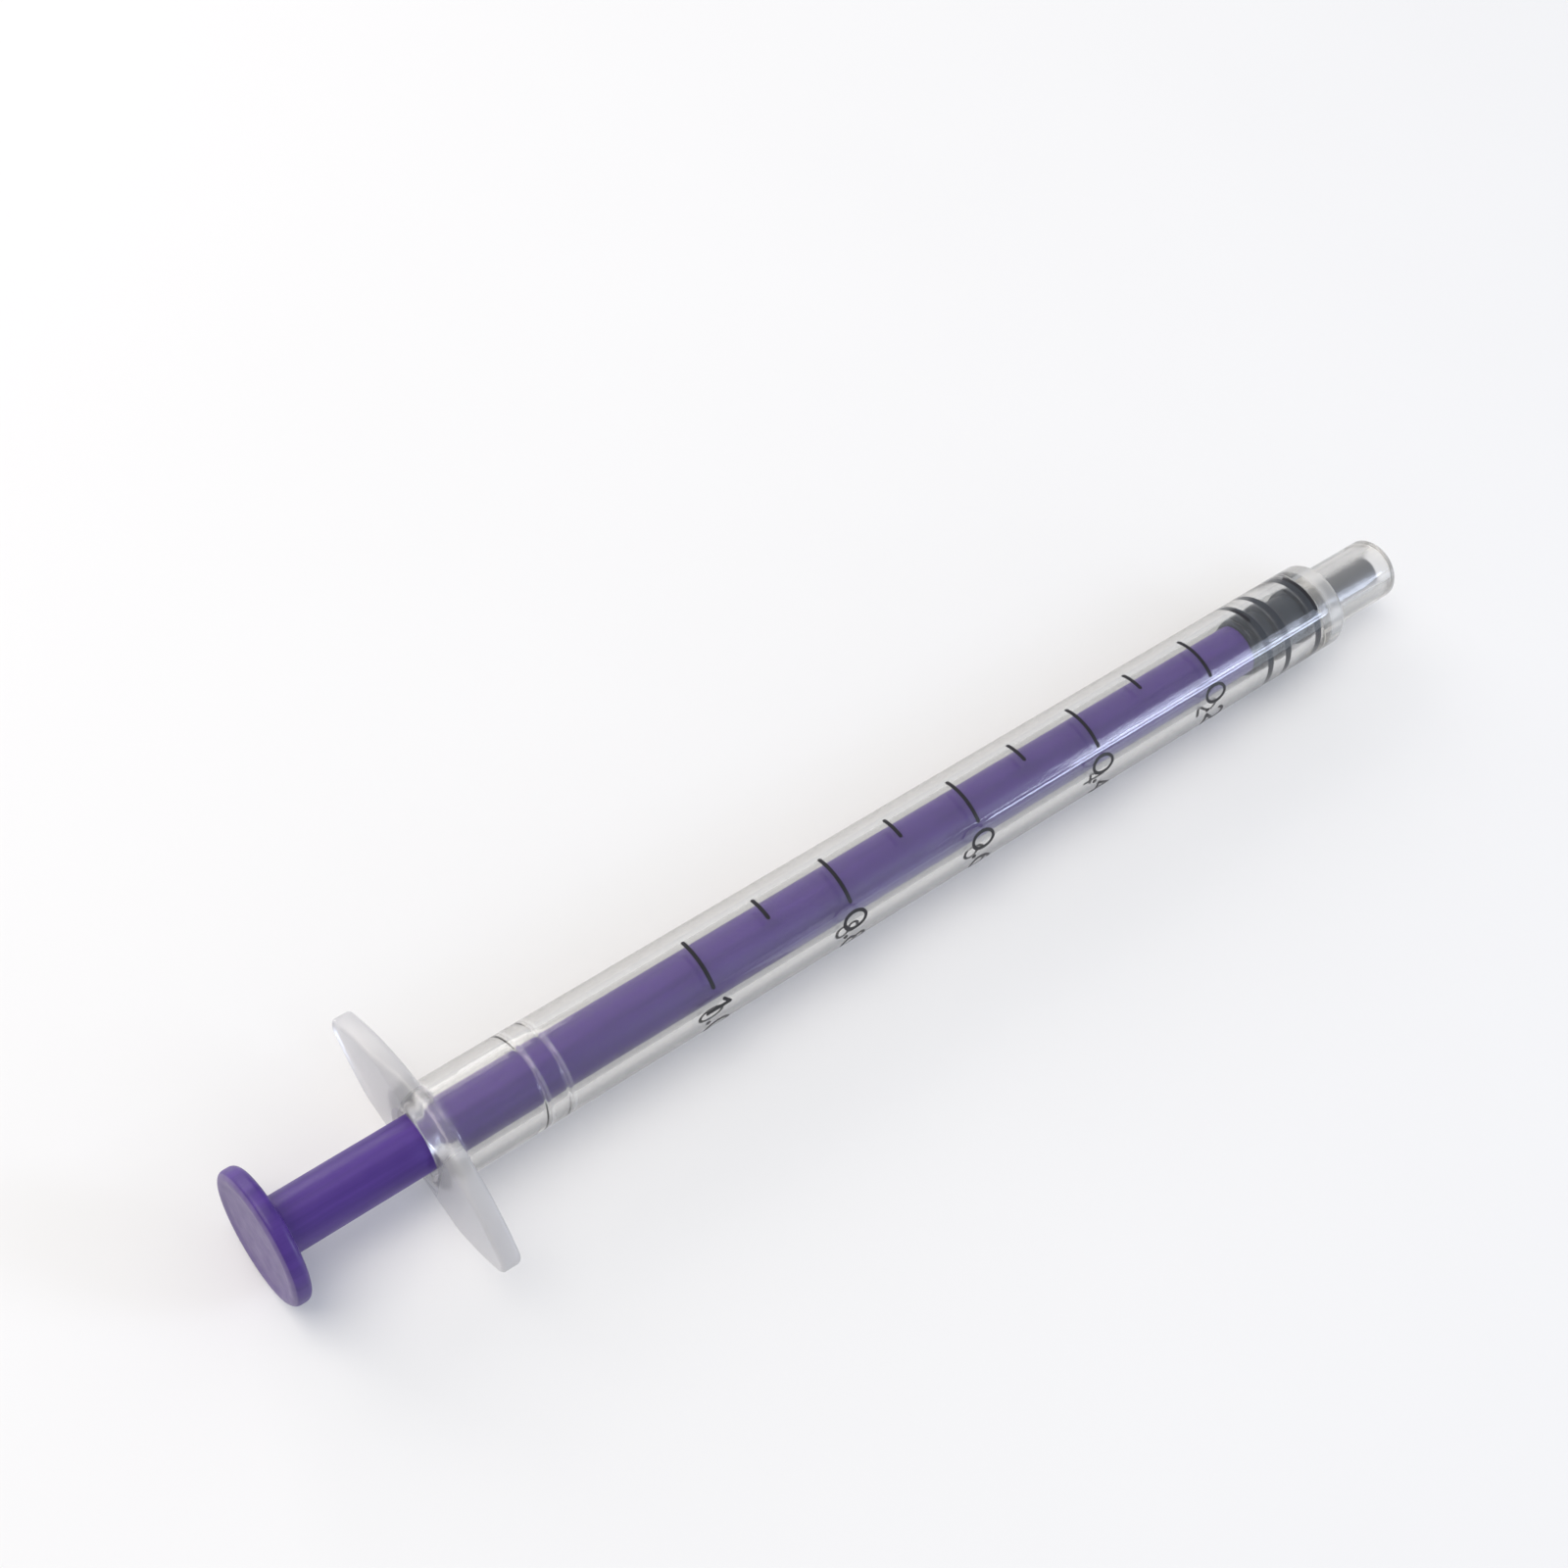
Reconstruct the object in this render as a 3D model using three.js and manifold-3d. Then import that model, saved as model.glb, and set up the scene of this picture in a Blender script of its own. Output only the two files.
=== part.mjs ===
// A 1 ml oral syringe with its plunger pushed fully in.
//
// The clear barrel is one moulding: tube, two-lobed finger flange, end wall and plain nozzle.
// A solid purple plunger rod ends in a round thumb disc at the back and a barbed head in front.
// The head snaps into a rubber stopper, whose long nose fills the nozzle's channel.
// The scale is eleven printed lines on the outside of the barrel.
//
// Units are millimetres. The axis runs along +X towards the nozzle, the flange's lobes point
// along Y and +Z is up. The origin is under the middle of the syringe, at the height of the
// thumb disc's lowest point. Inside this file x is measured from the scale's zero line.

import * as THREE from 'three';
import { mergeVertices } from 'three/addons/utils/BufferGeometryUtils.js';
import Module from 'manifold-3d';

const wasm = await Module();
wasm.setup();

// ---- Driving dimensions -------------------------------------------------------------------

const SIDES = 40;                 // facets round each turned piece

// Scale: 0.1 ml in a bore of 4.70 mm is 5.76 mm of travel.
const BORE_R = 2.35;
const DIVISION = 5.76;
const DIVISIONS = 10;

// Barrel
const BARREL_R = 3.35;
const BORE_END = 0.8;
const SHOULDER_X = 2.6;
const SHOULDER_ROUND = 0.35;
const NOZZLE_ROOT_R = 2.47;
const NOZZLE_TIP_R = 2.42;
const NOZZLE_END = 9.6;
const NOZZLE_ROUND = 0.3;
const CHANNEL_R = 1.25;
const MOUTH_CHAMFER = 0.25;

// Finger flange: a lens of two large arcs with round tips
const FLANGE_REAR = -78.55;
const FLANGE_FRONT = -77.15;
const FLANGE_HALF_LENGTH = 9.65;
const FLANGE_HALF_HEIGHT = 4.0;
const FLANGE_TIP_R = 1.0;
const FLANGE_EDGE = 0.25;
const FLANGE_FILLET = 0.5;
// Its rear face leans forward near the long edges, from this distance above and below the axis
const LEAN_START = 2.9;
const LEAN_DEPTH = 0.65;

// Two beads inside the bore that stop the stopper from being drawn out
const BEADS = [
  { x: -70.55, height: 0.14 },
  { x: -68.87, height: 0.1 },
];
const BEAD_HALF_WIDTH = 0.25;

// Plunger rod
const DISC_REAR = -89.65;
const DISC_R = 4.6;
const DISC_THICKNESS = 1.25;
const DISC_EDGE = 0.4;
const ROD_R = 1.95;
const ROD_FILLET = 0.5;
const NECK_R = 1.0;
const NECK_LENGTH = 1.6;
const HEAD_R = 1.4;
const HEAD_TIP_R = 0.8;
const HEAD_LENGTH = 1.9;
const HEAD_SHOULDER = 0.25;
const SNAP_GAP = 0.05;            // running gap between the rod's head and the stopper

// Stopper
const STOPPER_REAR = -6.25;
const STOPPER_FRONT = 0.6;
const CORE_R = 1.93;
const RIB_R = BORE_R - 0.03;
const RIBS = [
  { x: -6.13, halfWidth: 0.12, crest: RIB_R - 0.05 },
  { x: -5.12, halfWidth: 0.45, crest: RIB_R },
  { x: -3.2, halfWidth: 0.45, crest: RIB_R },
  { x: 0.1, halfWidth: 0.48, crest: RIB_R },
];
const NOSE_R = 1.1;
const NOSE_ROUND = 0.5;
const NOSE_END = 8.6;

// Printed scale. Angles are round the barrel from its top towards -Y, in degrees.
const INK_GAP = 0.02;
const INK_THICKNESS = 0.04;
const LINE_WIDTH = 0.3;
const LONG_LINE = 67.5;
const SHORT_LINE = 33.75;
const FIRST_LINE_START = -40.5;
const PRINT_SKEW = 1.3;           // the print turns this far round the barrel per division

// ---- Materials ----------------------------------------------------------------------------

const clearPlastic = () => new THREE.MeshStandardMaterial({
  color: 0xe4e3e8, roughness: 0.12, metalness: 0, transparent: true, opacity: 0.35,
});
const purplePlastic = () => new THREE.MeshStandardMaterial({
  color: 0x573d8a, roughness: 0.42, metalness: 0,
});
const darkRubber = () => new THREE.MeshStandardMaterial({
  color: 0x2f343a, roughness: 0.6, metalness: 0,
});
const blackInk = () => new THREE.MeshStandardMaterial({
  color: 0x15151a, roughness: 0.5, metalness: 0,
});

// ---- Geometry helpers ---------------------------------------------------------------------

// A solid of revolution about X, from a profile of [x, radius] points that runs towards +X
// and starts and ends on the axis.
function revolve(profile) {
  const points = profile.map(([x, radius]) => new THREE.Vector2(radius, x));
  return new THREE.LatheGeometry(points, SIDES).rotateZ(-Math.PI / 2);
}

// Points on an arc in the [x, radius] plane, both ends included. Angles are in degrees from +X.
function arc(x, radius, r, from, to, steps) {
  return Array.from({ length: steps + 1 }, (_, i) => {
    const angle = THREE.MathUtils.degToRad(from + (to - from) * i / steps);
    return [x + r * Math.cos(angle), radius + r * Math.sin(angle)];
  });
}

// Half an ellipse that stands on a cylinder: a rib, or a bead when the height is negative.
function ridge(x, halfWidth, baseR, height, steps) {
  return Array.from({ length: steps + 1 }, (_, i) => {
    const angle = Math.PI * (1 - i / steps);
    return [x + halfWidth * Math.cos(angle), baseR + height * Math.sin(angle)];
  });
}

// Lays an extrusion's depth along +X, starting at x, with the shape's second axis along Y.
function alongX(geometry, x) {
  return geometry.rotateY(Math.PI / 2).translate(x, 0, 0);
}

function toManifold(geometry) {
  const bare = geometry.clone();
  bare.deleteAttribute('normal');
  bare.deleteAttribute('uv');
  const merged = mergeVertices(bare, 1e-4);
  const index = Array.from(merged.index.array);
  const triVerts = [];
  for (let i = 0; i < index.length; i += 3) {
    const [a, b, c] = index.slice(i, i + 3);
    if (a !== b && b !== c && c !== a) triVerts.push(a, b, c);
  }
  return new wasm.Manifold(new wasm.Mesh({
    numProp: 3,
    vertProperties: new Float32Array(merged.attributes.position.array),
    triVerts: new Uint32Array(triVerts),
  }));
}

function fromManifold(solid) {
  const mesh = solid.getMesh();
  const geometry = new THREE.BufferGeometry();
  geometry.setAttribute('position', new THREE.BufferAttribute(mesh.vertProperties, 3));
  geometry.setIndex(new THREE.BufferAttribute(mesh.triVerts, 1));
  geometry.computeVertexNormals();
  return geometry;
}

function named(name, geometry, material) {
  const mesh = new THREE.Mesh(geometry, material);
  mesh.name = name;
  return mesh;
}

// ---- Barrel -------------------------------------------------------------------------------

// Tube, shoulder and nozzle as one turned solid, without its bore
function barrelBody() {
  return revolve([
    [FLANGE_REAR, 0],
    [FLANGE_REAR, BARREL_R + FLANGE_FILLET],
    ...arc(FLANGE_FRONT + FLANGE_FILLET, BARREL_R + FLANGE_FILLET, FLANGE_FILLET, 180, 270, 4),
    ...arc(SHOULDER_X - SHOULDER_ROUND, BARREL_R - SHOULDER_ROUND, SHOULDER_ROUND, 90, 0, 4),
    [SHOULDER_X, NOZZLE_ROOT_R],
    ...arc(NOZZLE_END - NOZZLE_ROUND, NOZZLE_TIP_R - NOZZLE_ROUND, NOZZLE_ROUND, 90, 0, 4),
    [NOZZLE_END, 0],
  ]);
}

// The lens-shaped finger flange, with softened edges
function flangePlate() {
  const tipX = FLANGE_HALF_LENGTH - FLANGE_TIP_R;
  const h = FLANGE_HALF_HEIGHT;
  // The side arcs' radius makes them run smoothly into the tip arcs.
  const sideR = (tipX ** 2 + h ** 2 - FLANGE_TIP_R ** 2) / (2 * (h - FLANGE_TIP_R));
  const drop = sideR - h;
  const tipTurn = Math.atan2(tipX, drop);
  const outline = new THREE.Shape();
  outline.absarc(-drop, 0, sideR, -tipTurn, tipTurn);
  outline.absarc(0, tipX, FLANGE_TIP_R, tipTurn, Math.PI - tipTurn);
  outline.absarc(drop, 0, sideR, Math.PI - tipTurn, Math.PI + tipTurn);
  outline.absarc(0, -tipX, FLANGE_TIP_R, Math.PI + tipTurn, 2 * Math.PI - tipTurn);
  const plate = new THREE.ExtrudeGeometry(outline, {
    depth: FLANGE_FRONT - FLANGE_REAR - 2 * FLANGE_EDGE,
    bevelThickness: FLANGE_EDGE,
    bevelSize: FLANGE_EDGE,
    bevelOffset: -FLANGE_EDGE,
    bevelSegments: 2,
    curveSegments: 8,
  });
  return alongX(plate, FLANGE_REAR + FLANGE_EDGE);
}

// The wedge that the flange's lean takes off its upper long edge
function flangeLean() {
  const dx = LEAN_DEPTH;
  const dz = FLANGE_HALF_HEIGHT - LEAN_START;
  const corners = [
    new THREE.Vector2(FLANGE_REAR - dx, LEAN_START - dz),
    new THREE.Vector2(FLANGE_REAR + 2 * dx, LEAN_START + 2 * dz),
    new THREE.Vector2(FLANGE_REAR - dx, LEAN_START + 2 * dz),
  ];
  const wedge = new THREE.ExtrudeGeometry(new THREE.Shape(corners), {
    depth: 3 * FLANGE_HALF_LENGTH,
    bevelEnabled: false,
  });
  return wedge.rotateX(Math.PI / 2).translate(0, 1.5 * FLANGE_HALF_LENGTH, 0);
}

// The hollow: a chamfered mouth, the bore with its two beads, and the nozzle's channel
function barrelHollow() {
  return revolve([
    [FLANGE_REAR - 1, 0],
    [FLANGE_REAR - 1, BORE_R + MOUTH_CHAMFER],
    [FLANGE_REAR, BORE_R + MOUTH_CHAMFER],
    [FLANGE_REAR + MOUTH_CHAMFER, BORE_R],
    ...BEADS.flatMap((bead) => ridge(bead.x, BEAD_HALF_WIDTH, BORE_R, -bead.height, 6)),
    [BORE_END, BORE_R],
    [BORE_END, CHANNEL_R],
    [NOZZLE_END + 1, CHANNEL_R],
    [NOZZLE_END + 1, 0],
  ]);
}

function makeBarrel() {
  const lean = toManifold(flangeLean());
  const solid = toManifold(barrelBody())
    .add(toManifold(flangePlate()))
    .subtract(lean)
    .subtract(lean.mirror([0, 0, 1]))
    .subtract(toManifold(barrelHollow()));
  return named('barrel', fromManifold(solid), clearPlastic());
}

// ---- Plunger rod --------------------------------------------------------------------------

// The neck starts where the rod meets the stopper's rear face.
const NECK_REAR = STOPPER_REAR - SNAP_GAP;
const HEAD_REAR = NECK_REAR + NECK_LENGTH;
const HEAD_FRONT = HEAD_REAR + HEAD_LENGTH;

function makePlungerRod() {
  const discFront = DISC_REAR + DISC_THICKNESS;
  const e = DISC_EDGE;
  const rod = revolve([
    [DISC_REAR, 0],
    ...arc(DISC_REAR + e, DISC_R - e, e, 180, 90, 4),
    ...arc(discFront - e, DISC_R - e, e, 90, 0, 4),
    ...arc(discFront + ROD_FILLET, ROD_R + ROD_FILLET, ROD_FILLET, 180, 270, 4),
    [NECK_REAR, ROD_R],
    [NECK_REAR, NECK_R],
    [HEAD_REAR, NECK_R],
    [HEAD_REAR, HEAD_R],
    [HEAD_REAR + HEAD_SHOULDER, HEAD_R],
    [HEAD_FRONT, HEAD_TIP_R],
    [HEAD_FRONT, 0],
  ]);
  return named('plunger_rod', rod, purplePlastic());
}

// ---- Stopper ------------------------------------------------------------------------------

// One closed profile: the socket for the rod's head, the ribbed outside, and the nose
function makeStopper() {
  const g = SNAP_GAP;
  const socket = [
    [HEAD_FRONT + g, 0],
    [HEAD_FRONT + g, HEAD_TIP_R + g],
    [HEAD_REAR + HEAD_SHOULDER, HEAD_R + g],
    [HEAD_REAR - g, HEAD_R + g],
    [HEAD_REAR - g, NECK_R + g],
    [STOPPER_REAR, NECK_R + g],
  ];
  const ribs = RIBS.flatMap((rib) => ridge(rib.x, rib.halfWidth, CORE_R, rib.crest - CORE_R, 6));
  const nose = arc(NOSE_END - NOSE_ROUND, NOSE_R - NOSE_ROUND, NOSE_ROUND, 90, 0, 4);
  const profile = [
    ...socket,
    [STOPPER_REAR, CORE_R],
    ...ribs.slice(1),
    [STOPPER_FRONT, CORE_R],
    [STOPPER_FRONT, NOSE_R],
    ...nose,
    [NOSE_END, 0],
  ];
  return named('stopper', revolve(profile), darkRubber());
}

// ---- Printed scale ------------------------------------------------------------------------

// A thin strip of ink that bends round the barrel. Angles are from the top towards -Y.
function inkStrip(x, startDeg, sweepDeg) {
  const start = Math.PI + THREE.MathUtils.degToRad(startDeg);
  const end = start + THREE.MathUtils.degToRad(sweepDeg);
  const inner = BARREL_R + INK_GAP;
  const outline = new THREE.Shape();
  outline.absarc(0, 0, inner + INK_THICKNESS, start, end, false);
  outline.absarc(0, 0, inner, end, start, true);
  const strip = new THREE.ExtrudeGeometry(outline, {
    depth: LINE_WIDTH,
    bevelEnabled: false,
    curveSegments: Math.ceil(sweepDeg / 14),
  });
  return alongX(strip, x - LINE_WIDTH / 2);
}

// One line per 0.1 ml, with every second one long
function makeScale() {
  return Array.from({ length: DIVISIONS + 1 }, (_, i) => {
    const start = FIRST_LINE_START + PRINT_SKEW * i;
    const sweep = i % 2 === 0 ? LONG_LINE : SHORT_LINE;
    const name = `scale_line_${Math.floor(i / 10)}_${i % 10}`;
    return named(name, inkStrip(-DIVISION * i, start, sweep), blackInk());
  });
}

// ---- Assembly -----------------------------------------------------------------------------

const syringe = new THREE.Group();
syringe.name = 'oral_syringe';
syringe.add(makeBarrel(), makePlungerRod(), makeStopper(), ...makeScale());
syringe.position.set(-(DISC_REAR + NOZZLE_END) / 2, 0, DISC_R);

export default syringe;
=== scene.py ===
"""The looks of a 1 ml oral syringe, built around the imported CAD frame.

Each moulding of the CAD model is replaced by a finer mesh of the same size: the clear barrel, the
purple plunger rod, the dark stopper and the printed scale, to which the numbers are added. Shapes
are worked out in millimetres and handed to Blender in metres, in the frame's own axes: the syringe
lies along X with its nozzle at +X, and +Z is up.
"""

import math

import bmesh
import bpy
from mathutils import Matrix, Vector


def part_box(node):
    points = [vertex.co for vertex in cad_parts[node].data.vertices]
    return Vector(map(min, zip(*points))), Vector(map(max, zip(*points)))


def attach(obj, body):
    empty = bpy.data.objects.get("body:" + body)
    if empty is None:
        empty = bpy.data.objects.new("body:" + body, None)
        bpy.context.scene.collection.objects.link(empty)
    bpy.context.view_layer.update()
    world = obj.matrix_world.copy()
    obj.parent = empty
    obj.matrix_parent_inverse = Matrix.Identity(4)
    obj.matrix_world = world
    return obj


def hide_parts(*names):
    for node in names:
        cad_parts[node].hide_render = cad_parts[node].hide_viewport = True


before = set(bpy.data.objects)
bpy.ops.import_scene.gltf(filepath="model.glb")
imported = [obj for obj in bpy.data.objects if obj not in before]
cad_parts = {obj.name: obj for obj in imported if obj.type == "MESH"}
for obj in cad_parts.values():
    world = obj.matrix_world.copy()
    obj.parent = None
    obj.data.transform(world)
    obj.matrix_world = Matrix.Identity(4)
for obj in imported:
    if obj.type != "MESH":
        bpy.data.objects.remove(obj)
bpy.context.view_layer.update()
MM = 0.001

# ---- Places, read from the frame ----------------------------------------------------------------


def low(node, axis):
    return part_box(node)[0][axis] / MM


def high(node, axis):
    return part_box(node)[1][axis] / MM


def middle(node, axis):
    return (low(node, axis) + high(node, axis)) / 2


X, Y, Z = 0, 1, 2
AXIS_Z = middle("plunger_rod", Z)
DISC_REAR = low("plunger_rod", X)
DISC_R = (high("plunger_rod", Z) - low("plunger_rod", Z)) / 2
HEAD_FRONT = high("plunger_rod", X)
FLANGE_REAR = low("barrel", X)
FLANGE_HALF_LENGTH = (high("barrel", Y) - low("barrel", Y)) / 2
FLANGE_HALF_HEIGHT = (high("barrel", Z) - low("barrel", Z)) / 2
NOZZLE_END = high("barrel", X)
STOPPER_REAR = low("stopper", X)
NOSE_END = high("stopper", X)
ZERO_LINE = middle("scale_line_0_0", X)
DIVISION = (ZERO_LINE - middle("scale_line_1_0", X)) / 10

# ---- Sizes that the frame's boxes don't give, in millimetres ------------------------------------

BARREL_R = 3.35
BORE_R = 2.35
BORE_END = ZERO_LINE + 0.8
SHOULDER_X = ZERO_LINE + 2.6
SHOULDER_ROUND = 0.35
NOZZLE_ROOT_R = 2.47
NOZZLE_TIP_R = 2.42
NOZZLE_ROUND = 0.3
NOZZLE_ROOT_FILLET = 0.12
CHANNEL_R = 1.25
CHANNEL_ROUND = 0.1
BORE_CORNER = 0.12
MOUTH_CHAMFER = 0.25

FLANGE_THICKNESS = 1.4
FLANGE_TIP_R = 1.0
FLANGE_EDGE = 0.3
FLANGE_FILLET = 0.5
LEAN_START = 2.9                  # above and below this the flange's rear face leans forward
LEAN_DEPTH = 0.65
LEAN_ROUND = 0.3                  # height over which the lean sets in

# Retention beads inside the bore: distance from the flange's rear face, and height
BEADS = [(8.0, 0.05), (9.68, 0.032)]
BEAD_HALF_WIDTH = 0.28

DISC_THICKNESS = 1.25
DISC_EDGE = 0.45
DISC_DISH = 0.12                  # depth of the shallow dish in the disc's rear face
DISC_RIM = 0.75
ROD_R = 1.95
ROD_FILLET = 0.55
ROD_END_ROUND = 0.15
NECK_R = 1.0
NECK_LENGTH = 1.6
HEAD_R = 1.4
HEAD_TIP_R = 0.8
HEAD_SHOULDER = 0.25
HEAD_LENGTH = 1.9
SNAP_GAP = 0.05

STOPPER_LENGTH = 6.85
CORE_R = 1.93
WETTED = 0.015                    # how far a rib's crest presses into the bore's wall
# Ribs: distance of the middle from the stopper's rear face, half width, crest radius
RIBS = [
    (0.12, 0.12, BORE_R - 0.05),
    (1.13, 0.45, BORE_R + WETTED),
    (3.05, 0.45, BORE_R + WETTED),
    (6.35, 0.48, BORE_R + WETTED),
]
NOSE_R = 1.1
NOSE_ROUND = 0.5
STOPPER_ROUND = 0.1
INNERMOST_R = 0.05                # a turned profile's innermost ring, which a point closes

INK_IN = 0.004                    # ink bites this far into the plastic, so it shows from inside
INK_OUT = 0.012
LINE_WIDTH = 0.3
LONG_LINE = 67.5
SHORT_LINE = 33.75
FIRST_LINE_START = -40.5
PRINT_SKEW = 1.3
NUMBER_GAP = 8.5                  # degrees between a long line's end and its number
DIGIT_WIDTH = 1.28                # of a digit's stroke, along its middle
DIGIT_HEIGHT = 1.82
DIGIT_STEP = 2.16                 # from one digit to the next, past the point
STROKE = 0.26

# Points round each turned piece
BARREL_STEPS = 224
TURNED_STEPS = 128

# ---- Mesh helpers -------------------------------------------------------------------------------


def mesh_object(name, points, faces):
    """A smooth-shaded mesh object from points in millimetres."""
    mesh = bpy.data.meshes.new(name)
    mesh.from_pydata([Vector(p) * MM for p in points], [], faces)
    mesh.update()
    mesh.shade_smooth()
    made = bpy.data.objects.new(name, mesh)
    bpy.context.scene.collection.objects.link(made)
    return made


def even_angles(count):
    """Angles round the axis from +Y, evenly spaced."""
    return [2 * math.pi * i / count for i in range(count)]


def lobe_angles(count, crowding=0.7):
    """Angles round the axis from +Y, crowded together towards the flange's two lobes."""
    return [a - crowding / 2 * math.sin(2 * a) for a in even_angles(count)]


def lathe(name, rings, angles, closed=False):
    """A solid whose rings are functions from an angle to (x, radius), ordered towards +X outside.

    A closed solid's last ring joins its first. An open one is capped by a point at each end.
    """
    count = len(angles)
    points = []
    for ring in rings:
        for a in angles:
            x, r = ring(a)
            points.append((x, r * math.cos(a), AXIS_Z + r * math.sin(a)))
    faces = []
    pairs = list(zip(range(len(rings)), range(1, len(rings))))
    if closed:
        pairs.append((len(rings) - 1, 0))
    for i, j in pairs:
        for k in range(count):
            m = (k + 1) % count
            faces.append((i * count + k, j * count + k, j * count + m, i * count + m))
    if not closed:
        for ring, turn in ((0, 1), (len(rings) - 1, -1)):
            tip = len(points)
            points.append((rings[ring](0)[0], 0, AXIS_Z))
            for k in range(count):
                m = (k + 1) % count
                pair = (ring * count + k, ring * count + m)
                faces.append((tip, *pair[::turn]))
    made = mesh_object(name, points, faces)
    face_outwards(made)
    return made


def face_outwards(made):
    bm = bmesh.new()
    bm.from_mesh(made.data)
    bmesh.ops.recalc_face_normals(bm, faces=bm.faces)
    bm.to_mesh(made.data)
    bm.free()


def flat_normals(made):
    """Lets large faces set the shading, so that flats stay flat beside their edges."""
    made.data.set_sharp_from_angle(angle=math.radians(35))
    made.modifiers.new("weighted", "WEIGHTED_NORMAL").keep_sharp = True


def fixed(profile):
    """Rings that are plain circles, from a list of (x, radius)."""
    return [lambda a, p=p: p for p in profile]


def arc(x, radius, r, start, end, steps):
    """Points (x, radius) along an arc, both ends included. Angles are in degrees from +X."""
    turns = [math.radians(start + (end - start) * i / steps) for i in range(steps + 1)]
    return [(x + r * math.cos(t), radius + r * math.sin(t)) for t in turns]


def between(first, last, steps):
    """Points (x, radius) evenly spaced between two, without either end."""
    return [
        tuple(a + (b - a) * i / steps for a, b in zip(first, last)) for i in range(1, steps)
    ]


def ridge(x, half_width, base, height, steps, flatness=1.0):
    """A rounded ridge on a cylinder. A flatness above 1 broadens its crest."""
    made = []
    for i in range(steps + 1):
        t = math.pi * (1 - i / steps)
        rise = math.sin(t) ** (1 / flatness)
        made.append((x + half_width * math.cos(t), base + height * rise))
    return made


def swell(x, half_width, base, height, steps):
    """A bump on a cylinder that rises and falls smoothly."""
    turns = [2 * math.pi * i / steps for i in range(steps + 1)]
    return [
        (x + half_width * (t / math.pi - 1), base + height * (1 - math.cos(t)) / 2) for t in turns
    ]


# ---- Barrel -------------------------------------------------------------------------------------


def lens_radius(angle, inset):
    """Radius of the flange's outline, a lens of two large arcs with round tips, at this angle."""
    tip_y = FLANGE_HALF_LENGTH - FLANGE_TIP_R
    h = FLANGE_HALF_HEIGHT
    side_r = (tip_y**2 + h**2 - FLANGE_TIP_R**2) / (2 * (h - FLANGE_TIP_R))
    drop = side_r - h
    c, s = abs(math.cos(angle)), abs(math.sin(angle))
    tip_turn = math.atan2(tip_y, drop)
    side = side_r - inset
    tip = FLANGE_TIP_R - inset
    join = math.atan2(side * math.cos(tip_turn) - drop, side * math.sin(tip_turn))
    if math.atan2(s, c) < join:
        return tip_y * c + math.sqrt((tip_y * c) ** 2 - tip_y**2 + tip**2)
    return -drop * s + math.sqrt((drop * s) ** 2 + side**2 - drop**2)


def lean(height):
    """How far forward the flange's rear face leans at a height above or below the axis."""
    past = max(0.0, abs(height) - LEAN_START + LEAN_ROUND / 2)
    rise = past**2 / (2 * LEAN_ROUND) if past < LEAN_ROUND else past - LEAN_ROUND / 2
    return LEAN_DEPTH * rise / (FLANGE_HALF_HEIGHT - LEAN_START)


def flange_rings():
    """From the mouth of the bore, out over the rear face, round the edge and in to the tube."""
    front = FLANGE_REAR + FLANGE_THICKNESS
    e = FLANGE_EDGE
    mouth = BORE_R + MOUTH_CHAMFER

    def leaning(ring):
        def leant(a):
            x, r = ring(a)
            return x + lean(r * math.sin(a)), r

        return leant

    def on_face(x, inner, share):
        return lambda a: (x, inner(a) + (lens_radius(a, e) - inner(a)) * share)

    def on_edge(x, turn):
        inset = e * (1 - math.sin(turn))
        return lambda a: (x, lens_radius(a, inset))

    def fillet(a):
        return min(FLANGE_FILLET, lens_radius(a, e) - BARREL_R - 0.02)

    def on_fillet(turn):
        return lambda a: (
            front + fillet(a) * (1 - math.sin(turn)),
            BARREL_R + fillet(a) * (1 - math.cos(turn)),
        )

    quarter = [math.radians(90 * i / 6) for i in range(7)]
    shares = [0.01, *(i / 16 for i in range(1, 16)), 0.98]
    rings = [lambda a: (FLANGE_REAR, mouth)]
    rings += [leaning(on_face(FLANGE_REAR, lambda a: mouth, s)) for s in shares]
    rings += [leaning(on_edge(FLANGE_REAR + e * (1 - math.cos(t)), t)) for t in quarter]
    rings += [on_edge(front - e * (1 - math.cos(t)), t) for t in reversed(quarter)]
    rings += [on_face(front, lambda a: BARREL_R + fillet(a), s) for s in (0.97, 0.6, 0.25, 0.04)]
    rings += [on_fillet(t) for t in reversed(quarter)]
    return rings


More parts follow.
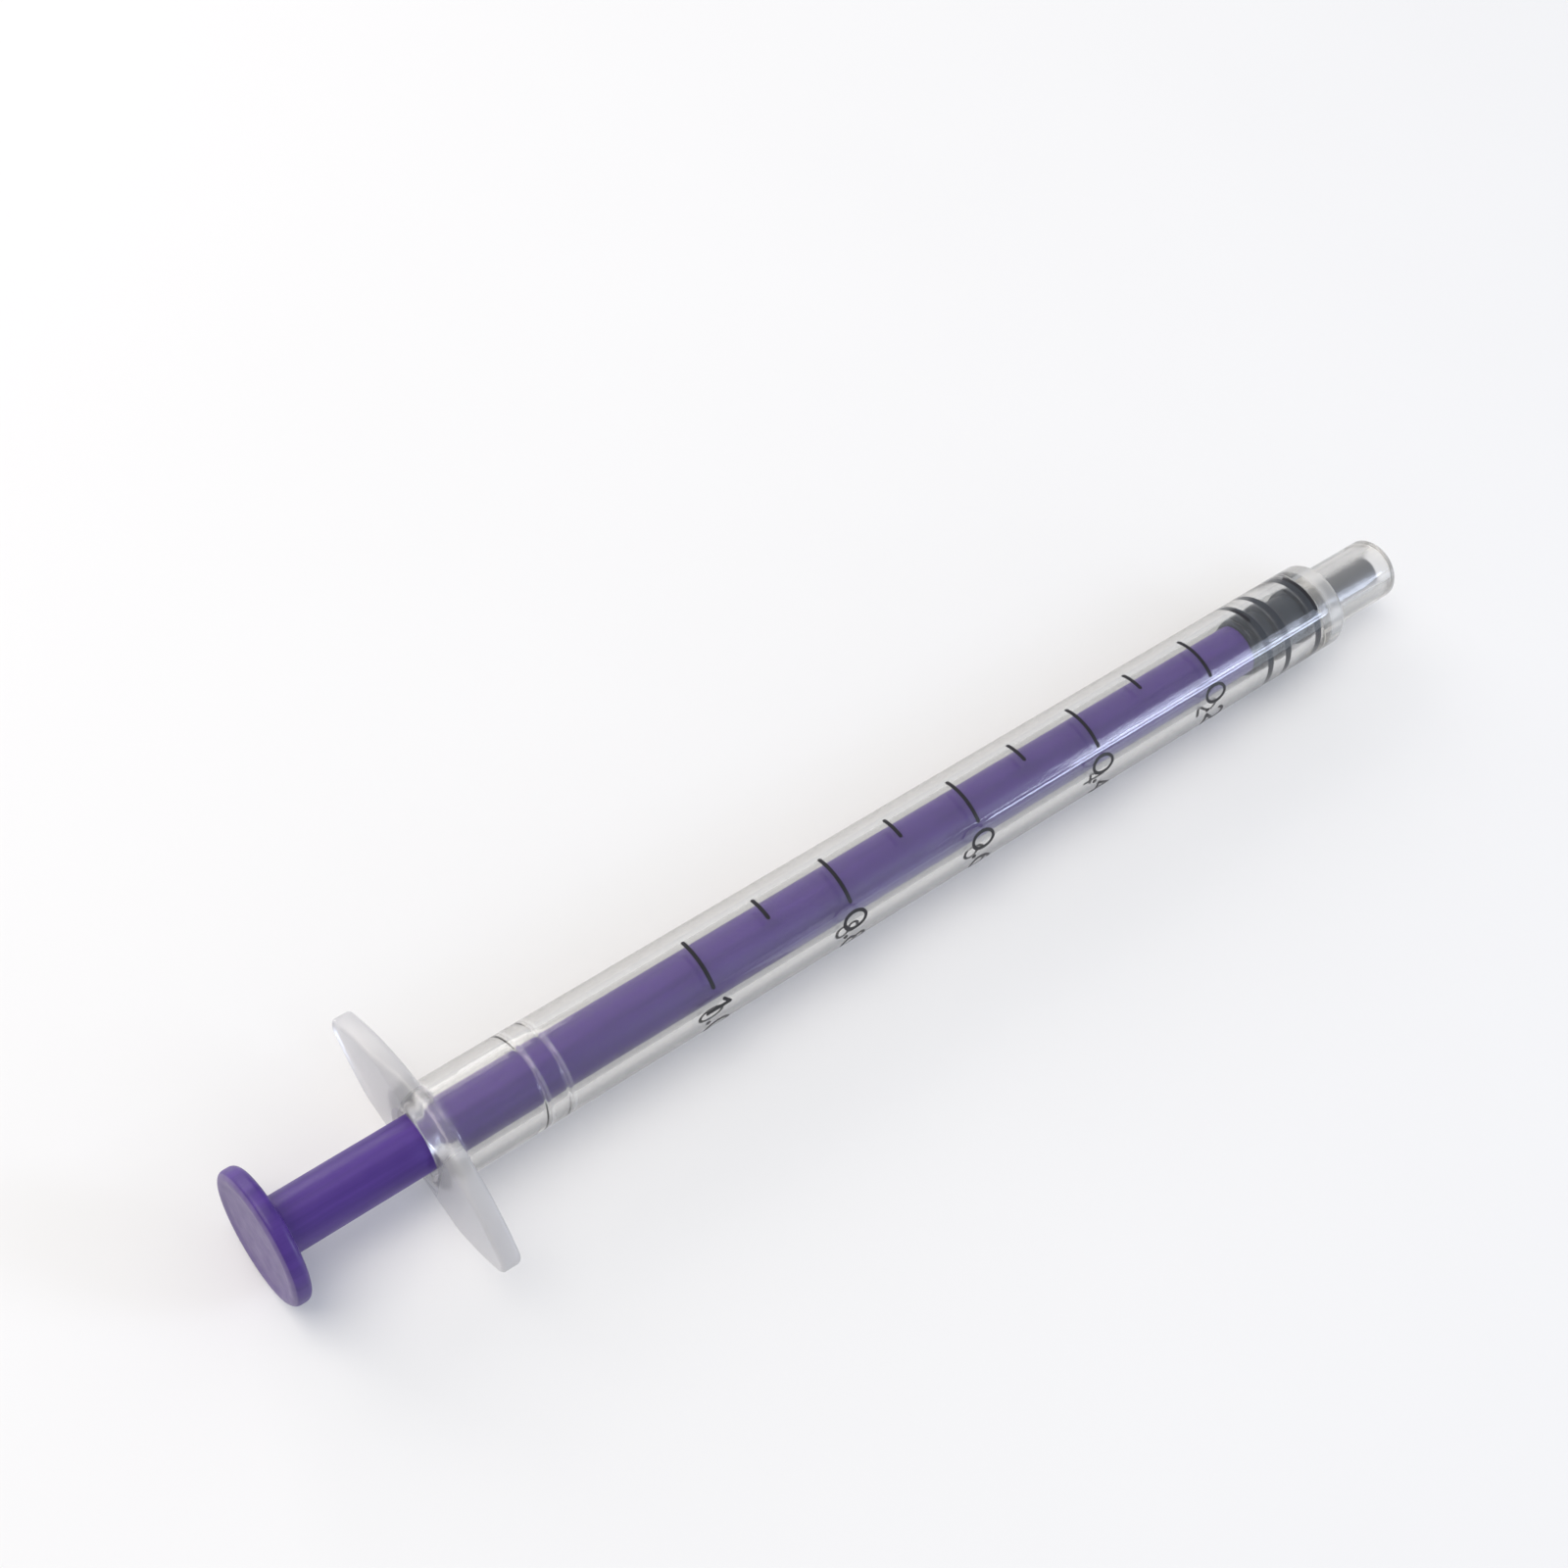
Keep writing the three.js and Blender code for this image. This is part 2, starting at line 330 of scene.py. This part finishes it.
def make_barrel():
    """One closed ring of outlines: the flange, the outside to the nozzle's end, and back inside."""
    front = FLANGE_REAR + FLANGE_THICKNESS
    tube_start = (front + FLANGE_FILLET, BARREL_R)
    shoulder = arc(
        SHOULDER_X - SHOULDER_ROUND, BARREL_R - SHOULDER_ROUND, SHOULDER_ROUND, 90, 0, 8
    )
    tip = arc(NOZZLE_END - NOZZLE_ROUND, NOZZLE_TIP_R - NOZZLE_ROUND, NOZZLE_ROUND, 90, 0, 6)
    f = NOZZLE_ROOT_FILLET
    root = arc(SHOULDER_X + f, NOZZLE_ROOT_R + f, f, 180, 270, 4)
    outside = [*between(tube_start, shoulder[0], 24), *shoulder, *root, *tip]
    mouth = (FLANGE_REAR + MOUTH_CHAMFER, BORE_R)
    c = CHANNEL_ROUND
    channel_mouth = arc(NOZZLE_END - c, CHANNEL_R + c, c, 0, -90, 3)
    b = BORE_CORNER
    bore_corner = arc(BORE_END - b, BORE_R - b, b, 0, 90, 4)
    beads = [
        swell(FLANGE_REAR + place, BEAD_HALF_WIDTH, BORE_R, -height, 16)[::-1]
        for place, height in BEADS
    ]
    inside = [
        *channel_mouth,
        *between((NOZZLE_END - c, CHANNEL_R), (BORE_END, CHANNEL_R), 4),
        (BORE_END, CHANNEL_R),
        *bore_corner,
        *between(bore_corner[-1], beads[1][0], 24),
        *beads[1],
        *beads[0],
        *between(beads[0][-1], mouth, 12),
        mouth,
    ]
    rings = flange_rings() + fixed(outside + inside)
    made = lathe("barrel_moulding", rings, lobe_angles(BARREL_STEPS), closed=True)
    flat_normals(made)
    return made


# ---- Plunger rod --------------------------------------------------------------------------------


def make_plunger():
    """From the thumb disc's dished rear face to the barbed head in front."""
    front = DISC_REAR + DISC_THICKNESS
    e = DISC_EDGE
    head_rear = HEAD_FRONT - HEAD_LENGTH
    neck_rear = head_rear - NECK_LENGTH
    dish_r = DISC_R - DISC_RIM
    # The dish's edge: share of its depth, and distance past its radius
    dish_edge = [(1.0, -0.5), (0.8, -0.25), (0.3, -0.05), (0.0, 0.15)]
    rear_face = [
        (DISC_REAR + DISC_DISH, INNERMOST_R),
        *((DISC_REAR + DISC_DISH * share, dish_r + past) for share, past in dish_edge),
    ]
    rod_end = arc(neck_rear - ROD_END_ROUND, ROD_R - ROD_END_ROUND, ROD_END_ROUND, 90, 0, 4)
    fillet = arc(front + ROD_FILLET, ROD_R + ROD_FILLET, ROD_FILLET, 180, 270, 8)
    profile = [
        *rear_face,
        *arc(DISC_REAR + e, DISC_R - e, e, 180, 90, 8),
        *arc(front - e, DISC_R - e, e, 90, 0, 8),
        *fillet,
        *between(fillet[-1], rod_end[0], 40),
        *rod_end,
        (neck_rear, NECK_R),
        (head_rear, NECK_R),
        (head_rear, HEAD_R),
        (head_rear + HEAD_SHOULDER, HEAD_R),
        (HEAD_FRONT, HEAD_TIP_R),
        (HEAD_FRONT, INNERMOST_R),
    ]
    made = lathe("plunger_moulding", fixed(profile), even_angles(TURNED_STEPS))
    flat_normals(made)
    return made


# ---- Stopper ------------------------------------------------------------------------------------


def make_stopper():
    """From the bottom of the socket out to the rear face, along the ribs and to the nose's tip."""
    g = SNAP_GAP
    head_rear = HEAD_FRONT - HEAD_LENGTH
    front = STOPPER_REAR + STOPPER_LENGTH
    socket = [
        (HEAD_FRONT + g, INNERMOST_R),
        (HEAD_FRONT + g, HEAD_TIP_R + g),
        (head_rear + HEAD_SHOULDER, HEAD_R + g),
        (head_rear - g, HEAD_R + g),
        (head_rear - g, NECK_R + g),
        (STOPPER_REAR, NECK_R + g),
    ]
    ribs = []
    for place, half_width, crest in RIBS:
        flatness = 8.0 if half_width > 0.2 else 1.0
        ribs += ridge(STOPPER_REAR + place, half_width, CORE_R, crest - CORE_R, 14, flatness)
    e = STOPPER_ROUND
    profile = [
        *socket,
        *ribs,
        *arc(front - e, CORE_R - e, e, 90, 0, 3),
        *arc(front + e, NOSE_R + e, e, 180, 270, 3),
        *arc(NOSE_END - NOSE_ROUND, NOSE_R - NOSE_ROUND, NOSE_ROUND, 90, 5, 8),
    ]
    made = lathe("stopper_moulding", fixed(profile), even_angles(TURNED_STEPS))
    flat_normals(made)
    return made


# ---- Printed scale ------------------------------------------------------------------------------


def on_barrel(around, x, radius):
    """A point of the print, in metres: a distance round the barrel from its top towards -Y, and x."""
    a = around / BARREL_R
    return Vector((x, -radius * math.sin(a), AXIS_Z + radius * math.cos(a))) * MM


def widths_along(path, width, closed):
    """Rows of (middle, across, half width) that a stroke's outline runs through."""
    half = width / 2
    count = len(path)
    rows = []
    for i, point in enumerate(path):
        before = path[i - 1] if closed or i > 0 else point
        after = path[(i + 1) % count] if closed or i < count - 1 else point
        along = (after - before).normalized()
        rows.append((point, Vector((-along.y, along.x)), half))
    if closed:
        return rows
    turns = [math.radians(90 * i / 5) for i in range(1, 5)] + [math.radians(86)]
    ends = []
    for point, across, sign in ((*rows[0][:2], -1), (*rows[-1][:2], 1)):
        along = Vector((across.y, -across.x)) * sign
        ends.append([(point + along * half * math.sin(t), across, half * math.cos(t)) for t in turns])
    return ends[0][::-1] + rows + ends[1]


def add_stroke(bm, path, width, closed=False):
    """A raised stroke of ink with round ends, along a path of (around, x) points in millimetres."""
    rings = []
    for middle, across, half in widths_along([Vector(p) for p in path], width, closed):
        left, right = middle - across * half, middle + across * half
        corners = ((left, -INK_IN), (right, -INK_IN), (right, INK_OUT), (left, INK_OUT))
        rings.append([bm.verts.new(on_barrel(p.x, p.y, BARREL_R + depth)) for p, depth in corners])
    pairs = list(zip(rings, rings[1:]))
    if closed:
        pairs.append((rings[-1], rings[0]))
    for one, two in pairs:
        for k in range(4):
            m = (k + 1) % 4
            bm.faces.new((one[k], one[m], two[m], two[k]))
    if not closed:
        bm.faces.new(rings[0][::-1])
        bm.faces.new(rings[-1])


def printed(name, strokes):
    """An object of ink from a list of (path, width, closed)."""
    bm = bmesh.new()
    for path, width, closed in strokes:
        add_stroke(bm, path, width, closed)
    bmesh.ops.recalc_face_normals(bm, faces=bm.faces)
    mesh = bpy.data.meshes.new(name)
    bm.to_mesh(mesh)
    bm.free()
    made = bpy.data.objects.new(name, mesh)
    bpy.context.scene.collection.objects.link(made)
    return made


def straight(start, end, spacing=0.1):
    """Points along a straight line, close enough together to bend round the barrel."""
    start, end = Vector(start), Vector(end)
    steps = max(1, math.ceil((end - start).length / spacing))
    return [start.lerp(end, i / steps) for i in range(steps + 1)]


def oval(x, y, rx, ry, start=0, end=360, steps=40):
    """Points along an ellipse's arc. A full turn leaves out its last point, which is its first."""
    count = steps if end - start == 360 else steps + 1
    turns = [math.radians(start + (end - start) * i / steps) for i in range(count)]
    return [Vector((x + rx * math.cos(t), y + ry * math.sin(t))) for t in turns]


def digit_paths(text):
    """A digit's strokes as (path, closed), in a box from (0, 0) to the digit's width and height."""
    w, h = DIGIT_WIDTH, DIGIT_HEIGHT
    if text == "0":
        return [(oval(w / 2, h / 2, w / 2, h / 2), True)]
    if text == "1":
        stem = 0.62 * w
        return [
            (straight((stem, 0), (stem, h)), False),
            (straight((stem, h), (stem - 0.34 * w, 0.78 * h)), False),
        ]
    if text == "2":
        r = 0.29 * h
        top = oval(w / 2, h - r, w / 2, r, 170, -25, 20)
        return [
            (top + straight(top[-1], (0, 0))[1:], False),
            (straight((0, 0), (w, 0)), False),
        ]
    if text == "4":
        stem = 0.72 * w
        return [
            (straight((stem, 0), (stem, h)), False),
            (straight((stem, h), (0, 0.3 * h)), False),
            (straight((0, 0.3 * h), (w, 0.3 * h)), False),
        ]
    if text == "6":
        r = 0.31 * h
        back = oval(w, r, w, h - r, 105, 180, 16)
        return [(oval(w / 2, r, w / 2, r), True), (back, False)]
    lower, upper = 0.275 * h, 0.225 * h
    return [
        (oval(w / 2, lower, w / 2, lower), True),
        (oval(w / 2, h - upper, 0.42 * w, upper), True),
    ]


def make_line(index):
    """One graduation line. Every second line is a long one."""
    start = math.radians(FIRST_LINE_START + PRINT_SKEW * index) * BARREL_R
    sweep = math.radians(LONG_LINE if index % 2 == 0 else SHORT_LINE) * BARREL_R
    x = ZERO_LINE - DIVISION * index
    half = LINE_WIDTH / 2
    path = straight((start + half, x), (start + sweep - half, x))
    return printed(f"line_{index // 10}_{index % 10}", [(path, LINE_WIDTH, False)])


def make_number(index):
    """The number beside a long line, read with the nozzle up, its first digit nearest the line."""
    whole, tenth = divmod(index, 10)
    line_end = FIRST_LINE_START + PRINT_SKEW * index + LONG_LINE
    left = math.radians(line_end + NUMBER_GAP) * BARREL_R + STROKE / 2
    bottom = ZERO_LINE - DIVISION * index - DIGIT_HEIGHT / 2
    point = (DIGIT_WIDTH + DIGIT_STEP) / 2
    dot = straight((left + point, bottom), (left + point, bottom + 0.06))
    strokes = [(dot, 1.25 * STROKE, False)]
    for text, place in ((str(whole), 0), (str(tenth), DIGIT_STEP)):
        for path, closed in digit_paths(text):
            moved = [p + Vector((left + place, bottom)) for p in path]
            strokes.append((moved, STROKE, closed))
    return printed(f"number_{whole}_{tenth}", strokes)


# ---- Materials ----------------------------------------------------------------------------------


class Nodes:
    """A material's node tree, with short ways to add and join nodes."""

    def __init__(self, name):
        self.material = bpy.data.materials.new(name)
        self.material.use_nodes = True
        self.tree = self.material.node_tree
        self.shader = self.tree.nodes["Principled BSDF"]
        self.output = self.tree.nodes["Material Output"]

    def set(self, **values):
        for name, value in values.items():
            self.shader.inputs[name.replace("_", " ")].default_value = value

    def add(self, kind, **inputs):
        node = self.tree.nodes.new("ShaderNode" + kind)
        for name, value in inputs.items():
            node.inputs[name.replace("_", " ")].default_value = value
        return node

    def join(self, source, target):
        self.tree.links.new(source, target)

    def feed(self, name, value):
        """Links a value to one of the shader's inputs."""
        self.join(value, self.shader.inputs[name])

    def place(self, scale=(1, 1, 1), shift=(0, 0, 0)):
        """The object's coordinates, stretched by scale and then shifted."""
        coordinates = self.add("TexCoord")
        mapping = self.add("Mapping", Scale=scale, Location=shift)
        self.join(coordinates.outputs["Object"], mapping.inputs["Vector"])
        return mapping.outputs["Vector"]

    def axes(self):
        """The object's X, Y and Z coordinates."""
        split = self.add("SeparateXYZ")
        self.join(self.place(), split.inputs["Vector"])
        return split.outputs

    def length(self, vector):
        node = self.add("VectorMath")
        node.operation = "LENGTH"
        self.join(vector, node.inputs[0])
        return node.outputs["Value"]

    def noise(self, scale, detail=3.0, stretch=(1, 1, 1)):
        node = self.add("TexNoise", Scale=scale, Detail=detail, Roughness=0.55)
        self.join(self.place(stretch), node.inputs["Vector"])
        return node.outputs["Fac"]

    def spread(self, value, low_end, high_end, start=0.3, stop=0.7):
        """A value mapped from start..stop to low_end..high_end."""
        node = self.add("MapRange")
        ends = (("From Min", start), ("From Max", stop), ("To Min", low_end), ("To Max", high_end))
        for name, end in ends:
            node.inputs[name].default_value = end
        self.join(value, node.inputs["Value"])
        return node.outputs["Result"]

    def blend(self, factor, first, second):
        """A colour between two, each given as numbers or as another node's output."""
        node = self.add("Mix")
        node.data_type = "RGBA"
        for colour, target in ((first, node.inputs[6]), (second, node.inputs[7])):
            if isinstance(colour, tuple):
                target.default_value = (*colour, 1)
            else:
                self.join(colour, target)
        self.join(factor, node.inputs["Factor"])
        return node.outputs[2]

    def towards(self, factor, value, number):
        """A value that turns into a fixed number as the factor rises to 1."""
        node = self.add("Mix", B=number)
        self.join(factor, node.inputs["Factor"])
        self.join(value, node.inputs["A"])
        return node.outputs["Result"]

    def maths(self, operation, *values):
        """A Math node's result, from floats or other nodes' outputs."""
        node = self.add("Math")
        node.operation = operation
        for value, target in zip(values, node.inputs):
            if isinstance(value, float):
                target.default_value = value
            else:
                self.join(value, target)
        return node.outputs["Value"]

    def bump(self, height, strength, distance):
        node = self.add("Bump", Strength=strength, Distance=distance)
        self.join(height, node.inputs["Height"])
        self.feed("Normal", node.outputs["Normal"])


def clear_plastic():
    """Clear polypropylene, with drawn lines along the tube.

    The outer skin is glossy. The bore and the nozzle's channel are rougher, so what is inside shows
    a little soft. The finger flange, the wall between bore and nozzle and the nozzle's tip are milky,
    and the two retention beads faintly so. The plastic darkens what is seen through a lot of it.
    """
    n = Nodes("clear_plastic_look")
    n.set(IOR=1.49)
    axes = n.axes()
    along = axes["X"]
    radius = n.length(n.place((0, 1, 1), (0, 0, -AXIS_Z * MM)))

    # Masks: how milky or rough the plastic is, from 0 to 1. The flange's middle, a little towards
    # -Y, stays clearer than its lobes, so the rod shows through it.
    flange_end = FLANGE_REAR + 1.9
    rear = n.spread(along, 1.0, 0.0, (flange_end - 0.3) * MM, (flange_end + 0.2) * MM)
    sideways = n.maths("ABSOLUTE", n.maths("ADD", axes["Y"], 0.45 * MM))
    lobes = n.spread(sideways, 0.22, 1.0, 1.8 * MM, 2.5 * MM)
    flange = n.maths("MULTIPLY", rear, lobes)
    end_wall = n.spread(along, 0.0, 0.75, (BORE_END + 0.1) * MM, (BORE_END + 0.4) * MM)
    nozzle = n.spread(along, 0.0, 0.6, (SHOULDER_X - 0.2) * MM, (SHOULDER_X + 0.1) * MM)
    solid_end = n.maths("SUBTRACT", end_wall, nozzle)
    tip = n.spread(along, 0.0, 0.7, (NOZZLE_END - 0.7) * MM, (NOZZLE_END - 0.15) * MM)
    bore = n.spread(radius, 1.0, 0.0, (BORE_R + 0.03) * MM, (BORE_R + 0.06) * MM)
    channel = n.spread(radius, 1.0, 0.0, 1.6 * MM, 2.0 * MM)

    haze = n.maths("MAXIMUM", n.maths("MAXIMUM", solid_end, tip), flange)
    for distance, _ in BEADS:
        offset = n.maths("SUBTRACT", along, (FLANGE_REAR + distance) * MM)
        ring = n.spread(n.maths("ABSOLUTE", offset), 0.36, 0.0, 0.04 * MM, 0.16 * MM)
        haze = n.maths("MAXIMUM", haze, ring)
    roughness = n.spread(n.noise(420, 2), 0.01, 0.035)
    for mask, rough in ((bore, 0.09), (channel, 0.32), (rear, 0.12), (flange, 0.3)):
        roughness = n.towards(mask, roughness, rough)
    n.feed("Base Color", n.blend(rear, (0.92, 0.92, 0.915), (0.85, 0.852, 0.88)))
    n.feed("Roughness", roughness)
    n.feed("Transmission Weight", n.spread(haze, 0.985, 0.60, 0, 1))
    n.bump(n.noise(1, 3, (40, 700, 700)), 0.08, 0.00003)

    # Lamps shine through it, and little is lost on the way
    clear = n.add("BsdfTransparent", Color=(0.89, 0.89, 0.90, 1))
    path = n.add("LightPath")
    mix = n.add("MixShader")
    n.join(path.outputs["Is Shadow Ray"], mix.inputs["Fac"])
    n.join(n.shader.outputs["BSDF"], mix.inputs[1])
    n.join(clear.outputs["BSDF"], mix.inputs[2])
    n.join(mix.outputs["Shader"], n.output.inputs["Surface"])
    murk = n.add("VolumeAbsorption", Color=(0.35, 0.33, 0.28, 1), Density=120.0)
    n.join(murk.outputs["Volume"], n.output.inputs["Volume"])
    return n.material


def purple_plastic():
    """Solid-coloured polypropylene: satin, with faint lines along the rod; the thumb disc's rear face
    is painted paler, a painted sheen of light.
    """
    n = Nodes("purple_plastic_look")
    n.set(IOR=1.49, Subsurface_Weight=0.08, Subsurface_Radius=(0.0006, 0.0004, 0.0009))
    lines = n.spread(n.noise(1100, 4, (0.03, 1, 1)), 0, 1, 0.36, 0.64)
    rod = n.blend(lines, (0.044, 0.013, 0.165), (0.067, 0.023, 0.220))
    # Painted sheen: the thumb disc's rear face is painted paler and greyer, standing in for the light
    # and gloss that fall on it.
    painted_sheen = n.blend(lines, (0.115, 0.075, 0.225), (0.145, 0.100, 0.260))
    rear = n.spread(n.axes()["X"], 1, 0, (DISC_REAR + 0.13) * MM, (DISC_REAR + 0.2) * MM)
    n.feed("Base Color", n.blend(rear, rod, painted_sheen))
    n.feed("Roughness", n.spread(n.noise(900, 3), 0.36, 0.46))
    n.bump(n.noise(1, 4, (90, 1400, 1400)), 0.3, 0.00003)
    return n.material


def dark_rubber():
    """Charcoal rubber, satin, with a fine grain."""
    n = Nodes("stopper_rubber_look")
    n.set(IOR=1.5)
    n.feed("Base Color", n.blend(n.noise(700, 4), (0.005, 0.009, 0.018), (0.010, 0.016, 0.031)))
    n.feed("Roughness", n.spread(n.noise(1800, 4), 0.38, 0.52))
    n.bump(n.noise(3200, 3), 0.25, 0.00002)
    return n.material


def black_ink():
    """Printed ink, satin and slightly uneven."""
    n = Nodes("black_ink_look")
    n.set(IOR=1.45)
    n.feed("Base Color", n.blend(n.noise(2500, 3), (0.006, 0.005, 0.008), (0.014, 0.012, 0.017)))
    n.feed("Roughness", n.spread(n.noise(1500, 3), 0.35, 0.5))
    n.bump(n.noise(5000, 3), 0.2, 0.00001)
    return n.material


# ---- Assembly -----------------------------------------------------------------------------------


def fit(made, body, slot, material, *nodes):
    """Gives a piece its look and its body, and hides the CAD nodes that it stands for."""
    made.data.materials.clear()
    made.data.materials.append(material)
    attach(made, body)
    if nodes:
        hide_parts(*nodes)


def build_syringe():
    fit(make_barrel(), "barrel", "clear_plastic", clear_plastic(), "barrel")
    fit(make_plunger(), "plunger", "purple_plastic", purple_plastic(), "plunger_rod")
    fit(make_stopper(), "stopper", "stopper_rubber", dark_rubber(), "stopper")
    ink = black_ink()
    for i in range(11):
        fit(make_line(i), "barrel", "black_ink", ink, f"scale_line_{i // 10}_{i % 10}")
    for i in (2, 4, 6, 8, 10):
        fit(make_number(i), "barrel", "black_ink", ink)


# ---- Studio -------------------------------------------------------------------------------------


def make_floor():
    """A wide pale floor that touches the thumb disc at the back and the barrel at the front."""
    rear = Vector((DISC_REAR + DISC_THICKNESS / 2, 0, 0)) * MM
    front = Vector((SHOULDER_X - SHOULDER_ROUND, 0, AXIS_Z - BARREL_R)) * MM
    tilt = math.atan2(front.z - rear.z, front.x - rear.x)
    bpy.ops.mesh.primitive_plane_add(size=4)
    floor = bpy.context.object
    floor.name = "floor"
    floor.matrix_world = Matrix.Translation(rear) @ Matrix.Rotation(-tilt, 4, "Y")
    n = Nodes("floor_look")
    n.feed("Base Color", n.blend(n.noise(30, 3), (0.80, 0.80, 0.80), (0.82, 0.82, 0.82)))
    n.set(Roughness=0.7)
    floor.data.materials.append(n.material)


def panel(name, centre, across, up, size, radiance, colour):
    """A glowing rectangle that faces the syringe. Its power follows from its size and radiance."""
    data = bpy.data.lights.new(name, "AREA")
    data.shape = "RECTANGLE"
    data.size, data.size_y = size
    data.energy = radiance * math.pi * size[0] * size[1]
    data.color = colour
    light = bpy.data.objects.new(name, data)
    bpy.context.scene.collection.objects.link(light)
    turn = Matrix((across, up, across.cross(up))).transposed().to_4x4()
    light.matrix_world = Matrix.Translation(centre) @ turn


def soft_box(name, azimuth, elevation, distance, size, radiance, colour):
    az, el = math.radians(azimuth), math.radians(elevation)
    back = Vector((math.cos(el) * math.cos(az), math.cos(el) * math.sin(az), math.sin(el)))
    across = Vector((0, 0, 1)).cross(back).normalized()
    panel(name, back * distance, across, back.cross(across), size, radiance, colour)


def make_lights():
    """A pale dome, warm soft boxes behind the syringe, and cool light from the nozzle's side.

    The cool light is a wall and a window. The barrel mirrors the window's panes as bright lines.
    """
    world = bpy.data.worlds.new("studio")
    bpy.context.scene.world = world
    world.use_nodes = True
    back = world.node_tree.nodes["Background"]
    back.inputs["Color"].default_value = (0.87, 0.92, 1.0, 1)
    back.inputs["Strength"].default_value = 0.57
    soft_box("key", 140, 62, 0.7, (0.5, 0.5), 3.8, (1.0, 0.93, 0.84))
    soft_box("low", 98, 20, 0.7, (0.61, 0.3), 3.4, (1.0, 0.95, 0.90))
    soft_box("wall", -50, 12, 0.7, (0.4, 0.2), 1.8, (0.8, 0.88, 1.0))
    middle_of_window = Vector((0.298, -0.273, 0.244))
    across = Vector((0.8, 0.452, -0.394)).normalized()
    up = Vector((0, 0.657, 0.754)).normalized()
    # Panes: distance along the window of both ends, height of the middle, height, radiance
    panes = [
        (-0.066, 0.062, -0.062, 0.028, 15),
        (-0.042, 0.062, -0.016, 0.034, 12),
        (-0.042, 0.062, 0.026, 0.007, 9),
        (-0.042, 0.062, 0.060, 0.006, 8),
        (-0.042, 0.062, 0.090, 0.005, 7),
        (-0.042, 0.062, 0.015, 0.185, 1.6),
    ]
    for i, (start, end, height, tall, radiance) in enumerate(panes):
        centre = middle_of_window + across * (start + end) / 2 + up * height
        panel(f"pane_{i}", centre, across, up, (end - start, tall), radiance, (0.72, 0.8, 1.0))


def make_camera():
    """The view is from above, behind and to the side of the thumb disc, rolled a little."""
    azimuth, elevation, roll = (math.radians(d) for d in (-146.59, 57.54, 22.35))
    aim = Vector((-3.0, 8.5, AXIS_Z)) * MM
    distance = 0.159
    back = Vector(
        (
            math.cos(elevation) * math.cos(azimuth),
            math.cos(elevation) * math.sin(azimuth),
            math.sin(elevation),
        )
    )
    data = bpy.data.cameras.new("camera")
    data.lens = 52.85
    data.sensor_width = 36
    data.clip_start = 0.01
    camera = bpy.data.objects.new("camera", data)
    bpy.context.scene.collection.objects.link(camera)
    turn = back.to_track_quat("Z", "Y").to_matrix() @ Matrix.Rotation(roll, 3, "Z")
    camera.matrix_world = Matrix.Translation(aim + back * distance) @ turn.to_4x4()
    bpy.context.scene.camera = camera


build_syringe()
make_floor()
make_lights()
make_camera()
bpy.context.scene.view_settings.view_transform = "Standard"

bpy.context.view_layer.update()
